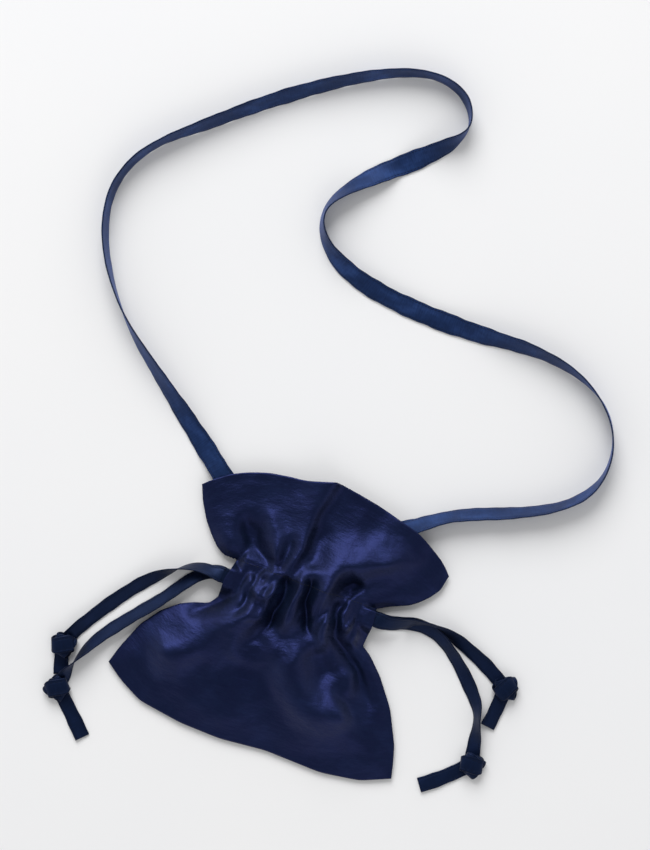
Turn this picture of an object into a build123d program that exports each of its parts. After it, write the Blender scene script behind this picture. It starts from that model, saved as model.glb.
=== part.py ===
from build123d import *
import math
import os

# Flat-lying drawstring pouch. X runs across the pouch, Y from its foot to its mouth, Z up.
# The origin is on the surface it lies on, under the middle of the pouch. Millimetres.

# ---- driving dimensions -------------------------------------------------------------------
CLOTH = 1.0                   # outer cloth, with its seams
LINING = 0.8                  # lining cloth
LINING_LIFT = 3.2             # the back lining's underside: a drawstring runs below it
TAPE_WIDTH = 11.0             # drawstring tape
TAPE_THICK = 1.2
STRAP_WIDTH = 15.0
STRAP_THICK = 1.5
GUIDE_LIFT = 30.0             # a line this far above each tape's path keeps its width level
FRONT_RUN = 12.8              # height of the tape's middle in the front channel
BACK_RUN = 2.1                # and in the back channel
TURN_X = 49.5                 # where a tape turns round inside the casing, from the middle
CASING_SIDE = 58.0            # half the width of the gathered neck
LEFT_BAND = 9.5               # middle of the left drawstring's channel, along Y
RIGHT_BAND = 21.3             # and of the right one's
MOUTH_RADIUS = 147.0          # the mouth's edge is one wide arc
MOUTH_TOP = (-2.0, 104.5)     # its furthest point
CASING_TOP = 15.0             # height of the gathered neck
CASING_SHOULDER = 7.0

# Rows of the outer cloth, foot to mouth: y, left side, right side, top.
FOOT_ROWS = [(-104.5, -60, 20, 3), (-100, -82, 62, 6), (-95, -93, 89, 8.5), (-90, -102, 104, 11)]
BODY_ROWS = [
    (-84, -113, 113, 13),
    (-70, -110, 109, 17),
    (-50, -103, 101, 21),
    (-35, -94, 92, 24),
    (-22, -79, 81, 25),
    (-12, -62, 70, 21),
]
FRILL_ROWS = [(36, -76, 70, 18), (45, -87, 84, 21), (55, -93, 92, 22), (66, -98, 97, 22), (107, -98, 97, 22)]
CASING_ENDS = (-4, 28)        # the neck is straight between these
INNER_FOOT = [(-93, -84, 80, 8), (-88, -97, 97, 10)]
SHOULDER_SHARE = 0.45         # share of a row's width taken by each rounded side
LINING_SIDE = 31.0            # half the lining's width in the neck
LINING_TOP = 11.8
LINING_SHOULDER = 3.9
LINING_GAP = 0.6              # space between cloth and lining elsewhere

# Stitches
STITCH_PITCH = 2.6
STITCH_LONG = 1.7
STITCH_WIDE = 0.7
STITCH_HIGH = 0.5
STITCH_COUNT = 38
UPPER_ROW = 27.4
LOWER_ROW = -3.2
TACK_ROWS = 3
TACK_STITCHES = 4
TACK_GAP = 4.0

# Knots
KNOT_RADIUS = 7.5
KNOT_HIGH = 8.5
KNOT_ROUND = 2.5

# Strap hinge: the line through the two places where the strap leaves the mouth.
STRAP_LEFT = Vector(-91, 80.5, 4.75)
STRAP_RIGHT = Vector(62.4, 98, 4.75)
STRAP_CLEAR = 0.8             # the strap starts this far outside the hinge line
END_CLEAR = 1.3               # and its sewn end stops this far inside it
END_LENGTH = 28.0

# ---- routes, chosen by hand ---------------------------------------------------------------
LEFT_UPPER = [
    (-58, 9.5, 12.8), (-66, 9.5, 12.8), (-76, 9, 9), (-87, 4.5, 4.2), (-98, -4.5, 2.4), (-110, -16.5, 2.2),
    (-121, -31, 2.2), (-131, -46.5, 2.2), (-139.5, -61, 2.2), (-145.5, -72, 2.2), (-149, -82.5, 2.2),
]
LEFT_UPPER_TAIL = [(-149, -82.5, 0.6), (-146.5, -94, 0.6), (-142.5, -104, 0.6)]
LEFT_LOWER = [
    (-58, 9.5, 2.1), (-65, 9.5, 2.1), (-74, 4, 0.9), (-83, -7.5, 0.6), (-94, -25, 0.6),
    (-106, -40, 0.6), (-116.5, -54, 0.8), (-126, -67.5, 1.8), (-133, -81.5, 2.2),
    (-138.5, -97, 2.2), (-141, -113.5, 2.2),
]
LEFT_LOWER_TAIL = [(-141, -113.5, 0.6), (-127, -125.5, 0.6), (-110, -141.5, 0.6)]
RIGHT_UPPER = [
    (58, 21.3, 12.8), (66, 21.3, 12.8), (76, 24.5, 9), (87, 29.5, 4.2), (100, 32.5, 2.4), (115, 31, 2.2),
    (132, 25.5, 2.2), (150, 18.5, 2.2), (166, 9.5, 2.2),
]
RIGHT_UPPER_TAIL = [(166, 9.5, 2.2), (166.5, -5, 2.2), (164.5, -22, 2.2)]
RIGHT_LOWER = [
    (58, 21.3, 2.1), (65.5, 21.3, 2.1), (75, 24.5, 1), (86, 28.5, 0.6), (97, 29, 0.6), (108, 26, 0.6),
    (119, 19.5, 0.6), (131, 10.5, 0.6), (142, 0, 0.6), (151.5, -10, 0.6), (156, -21.5, 0.6),
    (160, -36, 0.6), (164, -52, 0.6),
]
RIGHT_LOWER_TAIL = [(164, -52, 0.6), (151, -68, 0.6), (134, -81, 0.6)]
STRAP = [
    (-91, 80.5, 4.75), (-117, 99.5, 0.75), (-156, 127, 0.75), (-191, 152, 0.75), (-216, 179, 0.75),
    (-234, 209, 0.75), (-241.5, 239, 0.75), (-236, 266, 0.75), (-221, 288.5, 0.75),
    (-197, 310, 0.75), (-168, 337, 0.75), (-138, 362, 0.75), (-106, 385, 0.75), (-76, 402, 0.75),
    (-51, 409.5, 0.75), (-31, 406.5, 0.75), (-18.5, 397, 0.75), (-12.5, 383, 0.75),
    (-19, 369, 0.75), (-37, 350.5, 0.75), (-60, 329.5, 0.75), (-79.5, 308.5, 0.75),
    (-90, 291, 0.75), (-88.5, 275, 0.75), (-76, 260.5, 0.75), (-54, 250, 0.75), (-25, 244.5, 0.75),
    (12, 243, 0.75), (52, 244.5, 0.75), (88, 248.5, 0.75), (116, 247, 0.75), (138, 241, 0.75),
    (156, 230.5, 0.75), (168.5, 215.5, 0.75), (175, 197.5, 0.75), (174.5, 178, 0.75),
    (165.5, 160, 0.75), (147.5, 144.5, 0.75), (122, 131, 0.75), (95, 119.5, 0.75),
    (75.5, 109, 1.8), (62.4, 98, 4.75),
]

os.makedirs("parts", exist_ok=True)


def write(built, label):
    """Name a finished piece and write it."""
    built.part.label = label
    export_step(built.part, f"parts/{label}.step")


# ---- cloth --------------------------------------------------------------------------------
def shouldered(rows, inset):
    """Rows drawn in by inset, each with its rounded sides' width."""
    drawn = []
    for y, left, right, top in rows:
        width = right - left - 2 * inset
        drawn.append((y, left + inset, right - inset, top - inset, SHOULDER_SHARE * width))
    return drawn


def neck(side, top, shoulder):
    """The two rows that bound the straight neck."""
    return [(y, -side, side, top, shoulder) for y in CASING_ENDS]


def arched(rows, base):
    """A solid with a flat underside at base, arched over each row."""
    with BuildPart() as solid:
        for y, left, right, top, shoulder in rows:
            rise = top - base
            with BuildSketch(Plane.XZ.offset(-y)):
                with BuildLine():
                    Line((left, base), (right, base))
                    EllipticalCenterArc((right - shoulder, base), shoulder, rise, start_angle=0, arc_size=90)
                    Line((right - shoulder, top), (left + shoulder, top))
                    EllipticalCenterArc((left + shoulder, base), shoulder, rise, start_angle=90, arc_size=90)
                make_face()
        loft(ruled=True)
    return solid.part


def mouth_waste():
    """Everything beyond the mouth's arc."""
    top_x, top_y = MOUTH_TOP
    with BuildPart() as waste:
        with BuildSketch(Plane.XY.offset(-CLOTH)):
            with Locations((0, top_y)):
                Rectangle(4 * CASING_SIDE, 2 * (top_y - FRILL_ROWS[-2][0]) + CLOTH)
            with Locations((top_x, top_y - MOUTH_RADIUS)):
                Circle(MOUTH_RADIUS, mode=Mode.SUBTRACT)
        extrude(amount=4 * CASING_TOP)
    return waste.part


def slab(low, high):
    """A level block as wide as the pouch, between two heights."""
    top_y = MOUTH_TOP[1]
    with BuildPart() as block:
        with BuildSketch(Plane.XY.offset(low)):
            Rectangle(4 * top_y, 4 * top_y)
        extrude(amount=high - low)
    return block.part


def footprint(rows, base, thick):
    """A flat panel with the same sides as the arched rows."""
    right_side = [(row[2], row[0]) for row in rows]
    left_side = [(row[1], row[0]) for row in reversed(rows)]
    with BuildPart() as panel:
        with BuildSketch(Plane.XY.offset(base)):
            with BuildLine():
                Polyline(*right_side, *left_side, close=True)
            make_face()
        extrude(amount=thick)
    return panel.part


def side_slot(side, band):
    """The stretch of side seam left open where a drawstring comes out."""
    with BuildPart() as slot:
        with Locations((side * CASING_SIDE, band, CLOTH)):
            Box(4 * CASING_SHOULDER, TAPE_WIDTH + CLOTH, CASING_TOP - 2 * CLOTH,
                align=(Align.CENTER, Align.CENTER, Align.MIN))
    return slot.part


shell_rows = shouldered(FOOT_ROWS + BODY_ROWS, 0) + neck(CASING_SIDE, CASING_TOP, CASING_SHOULDER)
shell_rows += shouldered(FRILL_ROWS, 0)
hollow_rows = shouldered(INNER_FOOT + BODY_ROWS, CLOTH)
hollow_rows += neck(CASING_SIDE - CLOTH, CASING_TOP - CLOTH, CASING_SHOULDER - CLOTH)
hollow_rows += shouldered(FRILL_ROWS, CLOTH)
lining_inset = CLOTH + LINING_GAP
lining_rows = shouldered(INNER_FOOT + BODY_ROWS, lining_inset) + neck(LINING_SIDE, LINING_TOP, LINING_SHOULDER)
lining_rows += shouldered(FRILL_ROWS, lining_inset)
room_rows = shouldered(INNER_FOOT + BODY_ROWS, lining_inset + LINING)
room_rows[0] = (room_rows[0][0] + LINING, *room_rows[0][1:])
room_rows += neck(LINING_SIDE - LINING, LINING_TOP - LINING, LINING_SHOULDER - LINING)
room_rows += shouldered(FRILL_ROWS, lining_inset + LINING)
lining_base = LINING_LIFT + LINING
waste_part = mouth_waste()

shell_solid = arched(shell_rows, CLOTH)
hollow_solid = arched(hollow_rows, CLOTH)
lining_solid = arched(lining_rows, CLOTH)
room_solid = arched(room_rows, CLOTH)
left_slot = side_slot(-1, LEFT_BAND)
right_slot = side_slot(1, RIGHT_BAND)

with BuildPart() as front_panel:
    add(shell_solid)
    add(hollow_solid, mode=Mode.SUBTRACT)
    add(waste_part, mode=Mode.SUBTRACT)
    add(left_slot, mode=Mode.SUBTRACT)
    add(right_slot, mode=Mode.SUBTRACT)
write(front_panel, "front_panel")

back_sheet = footprint(shell_rows, 0, CLOTH)
with BuildPart() as back_panel:
    add(back_sheet)
    add(waste_part, mode=Mode.SUBTRACT)
write(back_panel, "back_panel")

below_lining = slab(0, lining_base)
with BuildPart() as front_lining:
    add(lining_solid)
    add(room_solid, mode=Mode.SUBTRACT)
    add(below_lining, mode=Mode.SUBTRACT)
    add(waste_part, mode=Mode.SUBTRACT)
write(front_lining, "front_lining")

lining_layer = slab(LINING_LIFT, lining_base)
with BuildPart() as back_lining:
    add(lining_solid)
    add(lining_layer, mode=Mode.INTERSECT)
    add(waste_part, mode=Mode.SUBTRACT)
write(back_lining, "back_lining")


def stitch_row(y):
    """One row of thread lying on the flat top of the neck."""
    with BuildPart() as row:
        with Locations((0, y, CASING_TOP)):
            with GridLocations(STITCH_PITCH, STITCH_PITCH, STITCH_COUNT, 1):
                Box(STITCH_LONG, STITCH_WIDE, STITCH_HIGH, align=(Align.CENTER, Align.CENTER, Align.MIN))
    return row


write(stitch_row(UPPER_ROW), "upper_casing_stitches")
write(stitch_row(LOWER_ROW), "lower_casing_stitches")


# ---- tapes --------------------------------------------------------------------------------
def bend_radii(route):
    """The largest radius that each corner's two runs allow."""
    radii = []
    for before, corner, after in zip(route, route[1:], route[2:]):
        first = Vector(corner) - Vector(before)
        second = Vector(after) - Vector(corner)
        half_turn = math.radians(first.get_angle(second)) / 2
        radii.append(0.45 * min(first.length, second.length) / math.tan(half_turn))
    return radii


def ribbon(route, width, thick, label):
    """A flat tape swept along straight runs joined by tangent arcs, its width level."""
    radii = bend_radii(route)
    start = Vector(route[0])
    heading = Vector(route[1]) - start
    level = Vector(heading.X, heading.Y, 0).normalized()
    above = [(x, y, z + GUIDE_LIFT) for x, y, z in route]
    with BuildLine() as path:
        FilletPolyline(*route, radius=radii)
    with BuildLine() as guide:
        FilletPolyline(*above, radius=radii)
    with BuildPart() as tape:
        with BuildSketch(Plane(start, x_dir=Vector(0, 0, 1).cross(level), z_dir=heading)):
            Rectangle(width, thick)
        sweep(path=path.wires()[0], binormal=guide.wires()[0])
    length = sum(edge.length for edge in path.edges())
    expected = width * thick * length
    print(f"{label}: length {length:.1f} mm, radii {min(radii):.0f} to {max(radii):.0f} mm,",
          f"volume {tape.part.volume:.0f} of {expected:.0f} mm3")
    return tape.part


def knot_blank(centre, radius):
    """The room that a knot takes up."""
    with BuildPart() as blank:
        with Locations((centre[0], centre[1], 0)):
            Cylinder(radius, 3 * KNOT_HIGH)
    return blank.part


def knot(centre):
    """A tape knot lying flat."""
    with BuildPart() as body:
        with Locations((centre[0], centre[1], 0)):
            Cylinder(KNOT_RADIUS, KNOT_HIGH, align=(Align.CENTER, Align.CENTER, Align.MIN))
        fillet(body.faces().sort_by(Axis.Z)[-1].edges(), KNOT_ROUND)
    return body


def free_end(route, tail_route, label):
    """The stretch outside the casing, its knot, and the tail past the knot."""
    centre = route[-1]
    blank = knot_blank(centre, KNOT_RADIUS)
    strand = ribbon(route, TAPE_WIDTH, TAPE_THICK, f"{label}_end")
    with BuildPart() as end:
        add(strand)
        add(blank, mode=Mode.SUBTRACT)
    write(end, f"{label}_end")
    write(knot(centre), f"{label}_knot")
    tail_strand = ribbon(tail_route, TAPE_WIDTH, TAPE_THICK, f"{label}_tail")
    with BuildPart() as tail:
        add(tail_strand)
        add(blank, mode=Mode.SUBTRACT)
    write(tail, f"{label}_tail")


def drawstring_loop(side, band):
    """The hidden part of a drawstring: along the back channel, round, and back along the front."""
    middle = (FRONT_RUN + BACK_RUN) / 2
    with BuildPart() as loop:
        with BuildSketch(Plane.XZ.offset(-band)):
            with BuildLine():
                Line((side * CASING_SIDE, BACK_RUN), (-side * TURN_X, BACK_RUN))
                ThreePointArc((-side * TURN_X, BACK_RUN),
                              (-side * (TURN_X + middle - BACK_RUN), middle),
                              (-side * TURN_X, FRONT_RUN))
                Line((-side * TURN_X, FRONT_RUN), (side * CASING_SIDE, FRONT_RUN))
            trace(line_width=TAPE_THICK)
        extrude(amount=TAPE_WIDTH / 2, both=True)
    return loop


write(drawstring_loop(-1, LEFT_BAND), "left_drawstring_loop")
write(drawstring_loop(1, RIGHT_BAND), "right_drawstring_loop")
free_end(LEFT_UPPER, LEFT_UPPER_TAIL, "left_upper")
free_end(LEFT_LOWER, LEFT_LOWER_TAIL, "left_lower")
free_end(RIGHT_UPPER, RIGHT_UPPER_TAIL, "right_upper")
free_end(RIGHT_LOWER, RIGHT_LOWER_TAIL, "right_lower")

# ---- strap --------------------------------------------------------------------------------
hinge_axis = (STRAP_RIGHT - STRAP_LEFT).normalized()
outward = Vector(0, 0, 1).cross(hinge_axis)

strap_ribbon = ribbon(STRAP, STRAP_WIDTH, STRAP_THICK, "strap")
with BuildPart() as strap:
    add(strap_ribbon)
    split(bisect_by=Plane(STRAP_LEFT + outward * STRAP_CLEAR, z_dir=outward), keep=Keep.TOP)
write(strap, "strap")


def strap_end(anchor, neighbour, label):
    """The sewn end inside the mouth, lying on the back lining, and its tack stitches."""
    heading = anchor - Vector(neighbour)
    inward = Vector(heading.X, heading.Y, 0).normalized()
    across = Vector(0, 0, 1).cross(inward)
    with BuildPart() as end:
        with BuildSketch(Plane(anchor - inward * STRAP_WIDTH, x_dir=across, z_dir=inward)):
            Rectangle(STRAP_WIDTH, STRAP_THICK)
        extrude(amount=END_LENGTH + STRAP_WIDTH)
        split(bisect_by=Plane(anchor - outward * END_CLEAR, z_dir=outward), keep=Keep.BOTTOM)
    write(end, f"{label}_strap_end")
    tack_middle = anchor + inward * (END_LENGTH - 2 * TACK_GAP) + Vector(0, 0, STRAP_THICK / 2)
    with BuildPart() as tack:
        with BuildSketch(Plane(tack_middle, x_dir=inward, z_dir=(0, 0, 1))):
            with GridLocations(TACK_GAP, STITCH_PITCH, TACK_ROWS, TACK_STITCHES):
                Rectangle(STITCH_WIDE, STITCH_LONG)
        extrude(amount=STITCH_HIGH)
    write(tack, f"{label}_strap_tack")


strap_end(STRAP_LEFT, STRAP[1], "left")
strap_end(STRAP_RIGHT, STRAP[-2], "right")
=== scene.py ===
"""A navy drawstring pouch lying on a pale surface: the looks over the CAD frame, in metres.
X runs across the pouch, Y from its foot to its mouth and Z up from the surface it lies on."""

import math

import bpy
import numpy as np
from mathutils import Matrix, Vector, noise


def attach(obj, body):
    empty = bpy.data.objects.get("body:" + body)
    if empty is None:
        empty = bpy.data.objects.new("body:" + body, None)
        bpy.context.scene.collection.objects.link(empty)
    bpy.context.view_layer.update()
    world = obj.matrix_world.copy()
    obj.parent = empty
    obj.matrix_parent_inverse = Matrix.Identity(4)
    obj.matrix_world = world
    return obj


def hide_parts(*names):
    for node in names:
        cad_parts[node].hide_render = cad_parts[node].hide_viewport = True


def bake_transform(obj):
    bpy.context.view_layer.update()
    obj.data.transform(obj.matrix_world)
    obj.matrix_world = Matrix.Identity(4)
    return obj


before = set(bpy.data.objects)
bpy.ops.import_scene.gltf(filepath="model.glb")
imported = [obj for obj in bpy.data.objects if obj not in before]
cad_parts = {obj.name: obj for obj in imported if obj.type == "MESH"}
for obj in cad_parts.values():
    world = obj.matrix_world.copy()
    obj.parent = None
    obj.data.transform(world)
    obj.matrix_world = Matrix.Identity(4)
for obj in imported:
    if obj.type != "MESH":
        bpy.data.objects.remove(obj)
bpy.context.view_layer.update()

STRAP_WIDTH, STRAP_THICK = 0.015, 0.0012
UNDER_HEM = 0.013  # how far the strap's own piece runs on inside the mouth
TAPE_WIDTH, TAPE_THICK = 0.011, 0.0010
PHOTO_TURN = math.radians(22)  # the camera's up is turned this far from the pouch's own
PHOTO_CENTRE = (-0.0302, 0.1399)
PHOTO_HEIGHT = 0.629  # what the picture covers from top to bottom
CLOTH_THICK, LINING_THICK = 0.0006, 0.0004

# ---------------------------------------------------------------- cord routes, as in the CAD part
LEFT_UPPER = [
    (-0.058, 0.0095, 0.0128), (-0.066, 0.0095, 0.0128), (-0.076, 0.009, 0.009),
    (-0.087, 0.0045, 0.0042), (-0.098, -0.0045, 0.0024), (-0.110, -0.0165, 0.0022),
    (-0.121, -0.031, 0.0022), (-0.131, -0.0465, 0.0022), (-0.1395, -0.061, 0.0022),
    (-0.1455, -0.072, 0.0022), (-0.149, -0.0825, 0.0022),
]
LEFT_UPPER_TAIL = [(-0.149, -0.0825, 0.0006), (-0.1465, -0.094, 0.0006), (-0.1425, -0.104, 0.0006)]
LEFT_LOWER = [
    (-0.058, 0.0095, 0.0021), (-0.065, 0.0095, 0.0021), (-0.074, 0.004, 0.0009),
    (-0.083, -0.0075, 0.0006), (-0.094, -0.025, 0.0006), (-0.106, -0.040, 0.0006),
    (-0.1165, -0.054, 0.0008), (-0.126, -0.0675, 0.0018), (-0.133, -0.0815, 0.0022),
    (-0.1385, -0.097, 0.0022), (-0.141, -0.1135, 0.0022),
]
LEFT_LOWER_TAIL = [(-0.141, -0.1135, 0.0006), (-0.127, -0.1255, 0.0006), (-0.110, -0.1415, 0.0006)]
RIGHT_UPPER = [
    (0.058, 0.0213, 0.0128), (0.066, 0.0213, 0.0128), (0.076, 0.0245, 0.009),
    (0.087, 0.0295, 0.0042), (0.100, 0.0325, 0.0024), (0.115, 0.031, 0.0022),
    (0.132, 0.0255, 0.0022), (0.150, 0.0185, 0.0022), (0.166, 0.0095, 0.0022),
]
RIGHT_UPPER_TAIL = [(0.166, 0.0095, 0.0022), (0.1665, -0.005, 0.0022), (0.1645, -0.022, 0.0022)]
RIGHT_LOWER = [
    (0.058, 0.0213, 0.0021), (0.0655, 0.0213, 0.0021), (0.075, 0.0245, 0.001),
    (0.086, 0.0285, 0.0006), (0.097, 0.029, 0.0006), (0.108, 0.026, 0.0006),
    (0.119, 0.0195, 0.0006), (0.131, 0.0105, 0.0006), (0.142, 0.0, 0.0006),
    (0.1515, -0.010, 0.0006), (0.156, -0.0215, 0.0006), (0.160, -0.036, 0.0006),
    (0.164, -0.052, 0.0006),
]
RIGHT_LOWER_TAIL = [(0.164, -0.052, 0.0006), (0.151, -0.068, 0.0006), (0.134, -0.081, 0.0006)]
LOW = 0.00075  # the strap's line where it lies flat on the surface
STRAP = [
    (-0.091, 0.0805, 0.00475), (-0.117, 0.0995, LOW), (-0.156, 0.127, LOW),
    (-0.191, 0.152, LOW), (-0.216, 0.179, LOW), (-0.234, 0.209, LOW), (-0.2415, 0.239, LOW),
    (-0.236, 0.266, LOW), (-0.221, 0.2885, LOW), (-0.197, 0.310, LOW), (-0.168, 0.337, LOW),
    (-0.138, 0.362, LOW), (-0.106, 0.385, LOW), (-0.076, 0.402, LOW), (-0.051, 0.4095, LOW),
    (-0.031, 0.4065, LOW), (-0.0185, 0.397, LOW), (-0.0125, 0.383, LOW), (-0.019, 0.369, LOW),
    (-0.037, 0.3505, LOW), (-0.060, 0.3295, LOW), (-0.0795, 0.3085, LOW), (-0.090, 0.291, LOW),
    (-0.0885, 0.275, LOW), (-0.076, 0.2605, LOW), (-0.054, 0.250, LOW), (-0.025, 0.2445, LOW),
    (0.012, 0.243, LOW), (0.052, 0.2445, LOW), (0.088, 0.2485, LOW), (0.116, 0.247, LOW),
    (0.138, 0.241, LOW), (0.156, 0.2305, LOW), (0.1685, 0.2155, LOW), (0.175, 0.1975, LOW),
    (0.1745, 0.178, LOW), (0.1655, 0.160, LOW), (0.1475, 0.1445, LOW), (0.122, 0.131, LOW),
    (0.095, 0.1195, LOW), (0.0755, 0.109, 0.0018), (0.0624, 0.098, 0.00475),
]
# how far each tape is rolled about its own line: pairs of the length along it in metres and the roll in
# degrees. A positive roll raises its right edge
STRAP_ROLL = [
    (0, 0), (0.015, 10), (0.052, 36), (0.08, 56), (0.10, 65), (0.117, 75), (0.138, 88),
    (0.17, 100), (0.19, 103), (0.24, 103), (0.28, 100), (0.294, 105), (0.31, 114),
    (0.34, 120), (0.38, 127), (0.434, 114), (0.463, 106), (0.493, 99), (0.517, 104),
    (0.54, 90), (0.55, 74), (0.558, 55), (0.566, 41), (0.582, 18), (0.598, 0), (0.614, -22),
    (0.63, -37), (0.637, -49), (0.646, -62), (0.655, -71), (0.663, -80), (0.672, -81),
    (0.685, -70), (0.693, -60), (0.706, -43), (0.725, -26), (0.76, -20), (0.79, -13),
    (0.823, -32), (0.839, -46), (0.854, -53), (0.871, -64), (0.887, -72), (0.905, -82),
    (0.915, -90), (0.926, -97), (0.935, -100), (0.958, -97), (0.981, -90), (1.0, -76),
    (1.01, -71), (1.025, -69), (1.055, -60), (1.084, -53), (1.10, -58), (1.115, -56),
    (1.131, -50), (1.145, -30),
]
LEFT_UPPER_ROLL = [(0, 0), (0.008, -40), (0.022, -60), (0.036, -90), (0.05, -135), (0.065, -155),
                   (0.10, -160), (0.125, -150), (0.14, -170)]
LEFT_LOWER_ROLL = [(0, 0), (0.012, -30), (0.03, -38), (0.09, -34), (0.11, -40), (0.125, -70),
                   (0.133, -90), (0.142, -140), (0.155, -170)]
RIGHT_UPPER_ROLL = [(0, 0), (0.012, -25), (0.034, -66), (0.046, -70), (0.07, -28), (0.095, -16),
                    (0.116, -10)]
RIGHT_LOWER_ROLL = [(0, 0), (0.014, -20), (0.045, -30), (0.062, -46), (0.085, -22), (0.104, -34),
                    (0.118, -72), (0.126, -60), (0.138, -20), (0.152, -8)]

# ---------------------------------------------------------------- the pouch's cut and outline
FLAT_WIDTH, FLAT_FOOT, FLAT_MOUTH = 0.231, -0.107, 0.104
CASING_LOW, CASING_HIGH = -0.005, 0.025  # the two rows of stitches of the casing, on the flat cloth
COLUMNS, BODY_ROWS, CASING_ROWS, FRILL_ROWS = 190, 90, 34, 74
LEFT_SIDE = [(-0.056, -0.007), (-0.060, -0.014), (-0.0705, -0.0175), (-0.0805, -0.0225),
             (-0.092, -0.033), (-0.102, -0.048), (-0.1095, -0.0685), (-0.113, -0.082)]
RIGHT_SIDE = [(0.057, -0.001), (0.0645, -0.0055), (0.077, -0.017), (0.093, -0.0365),
              (0.106, -0.0605), (0.1105, -0.0745), (0.113, -0.084)]
FOOT = [(-0.113, -0.082), (-0.1005, -0.0905), (-0.081, -0.100), (-0.0475, -0.104), (-0.0155, -0.104),
        (0.0185, -0.0995), (0.0625, -0.0995), (0.092, -0.094), (0.113, -0.084)]
FRILL_LEFT = [(-0.053, 0.024), (-0.063, 0.023), (-0.070, 0.0265), (-0.077, 0.033), (-0.085, 0.042),
              (-0.093, 0.0545), (-0.098, 0.0655)]
FRILL_RIGHT = [(0.056, 0.0285), (0.0645, 0.0335), (0.078, 0.040), (0.084, 0.045), (0.0895, 0.051),
               (0.0945, 0.0585), (0.0965, 0.0705)]
MOUTH = [(-0.098, 0.0655), (-0.0915, 0.072), (-0.081, 0.0805), (-0.0685, 0.087), (-0.055, 0.092),
         (-0.040, 0.095), (-0.0285, 0.0965), (-0.018, 0.100), (-0.0055, 0.1045), (0.0005, 0.1035),
         (0.013, 0.102), (0.030, 0.0995), (0.0475, 0.0955), (0.0635, 0.092), (0.0755, 0.086),
         (0.086, 0.080), (0.093, 0.0745), (0.0965, 0.0705)]


def along(points, share):
    """The point at that share of a line's length."""
    p = np.array(points, float)
    steps = np.linalg.norm(np.diff(p, axis=0), axis=1)
    s = np.r_[0, np.cumsum(steps)] / steps.sum()
    return np.stack([np.interp(share, s, p[:, k]) for k in range(p.shape[1])], -1)


def smooth_step(x, low, high):
    t = np.clip((np.asarray(x, float) - low) / (high - low), 0, 1)
    return t * t * (3 - 2 * t)


# ---------------------------------------------------------------- meshes
def grid_faces(rows, cols, around=False, flip=False):
    """Four-sided faces over rows of points; around joins the last column to the first."""
    across = cols if around else cols - 1
    faces = []
    for j in range(rows - 1):
        for i in range(across):
            a, b = j * cols + i, j * cols + (i + 1) % cols
            quad = (a, b, b + cols, a + cols)
            faces.append(quad[::-1] if flip else quad)
    return faces


def add_mesh(name, points, faces, uv=None, edge=None):
    mesh = bpy.data.meshes.new(name)
    mesh.from_pydata([tuple(map(float, p)) for p in points], [], faces)
    mesh.update()
    mesh.polygons.foreach_set("use_smooth", [True] * len(mesh.polygons))
    if uv is not None:
        layer = mesh.uv_layers.new(name="cloth")
        uv = np.asarray(uv, float)
        index = np.zeros(len(mesh.loops), np.int32)
        mesh.loops.foreach_get("vertex_index", index)
        layer.data.foreach_set("uv", uv[index].astype(np.float32).ravel())
    if edge is not None:
        attribute = mesh.attributes.new("edge", "FLOAT", "POINT")
        attribute.data.foreach_set("value", np.asarray(edge, np.float32))
    obj = bpy.data.objects.new(name, mesh)
    bpy.context.scene.collection.objects.link(obj)
    return obj


def finish_piece(obj, body, material, slot, *nodes):
    """Gives a piece its material and its body, and hides the CAD pieces it stands for; the slot is not
    used.
    """
    obj.data.materials.append(material)
    if body:
        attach(obj, body)
    if nodes:
        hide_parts(*nodes)
    return obj


# ---------------------------------------------------------------- materials
def new_material(name):
    material = bpy.data.materials.new(name)
    material.use_nodes = True
    tree = material.node_tree
    return material, tree, tree.nodes["Principled BSDF"]


def put(tree, kind, sockets=None, **settings):
    node = tree.nodes.new(kind)
    for key, value in settings.items():
        setattr(node, key, value)
    for key, value in (sockets or {}).items():
        if isinstance(value, bpy.types.NodeSocket):
            tree.links.new(value, node.inputs[key])
        else:
            node.inputs[key].default_value = value
    return node


def stretched_noise(tree, coords, scale, detail=2.0, rough=0.5):
    """Noise whose grain has its own size each way."""
    mapping = put(tree, "ShaderNodeMapping", {"Vector": coords, "Scale": scale})
    return put(tree, "ShaderNodeTexNoise", {"Vector": mapping.outputs[0], "Scale": 1.0,
                                            "Detail": detail, "Roughness": rough}).outputs["Fac"]


def ramp(tree, factor, stops):
    node = put(tree, "ShaderNodeValToRGB", {"Fac": factor})
    bar = node.color_ramp
    while len(bar.elements) < len(stops):
        bar.elements.new(0.5)
    for element, (place, colour) in zip(bar.elements, stops):
        element.position = place
        element.color = (*colour, 1)
    return node.outputs["Color"]


def blend_colour(tree, factor, a, b, how="MIX"):
    node = put(tree, "ShaderNodeMix", data_type="RGBA", blend_type=how)
    for index, value in ((0, factor), (6, a), (7, b)):
        if isinstance(value, bpy.types.NodeSocket):
            tree.links.new(value, node.inputs[index])
        else:
            node.inputs[index].default_value = value
    return node.outputs[2]


def sums(tree, operation, a, b=None, c=None):
    node = put(tree, "ShaderNodeMath", operation=operation)
    for k, value in enumerate((a, b, c)):
        if isinstance(value, bpy.types.NodeSocket):
            tree.links.new(value, node.inputs[k])
        elif value is not None:
            node.inputs[k].default_value = value
    return node.outputs[0]


def grey(tree, value, low, high):
    return put(tree, "ShaderNodeMapRange",
               {"Value": value, "To Min": low, "To Max": high}).outputs["Result"]


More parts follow.
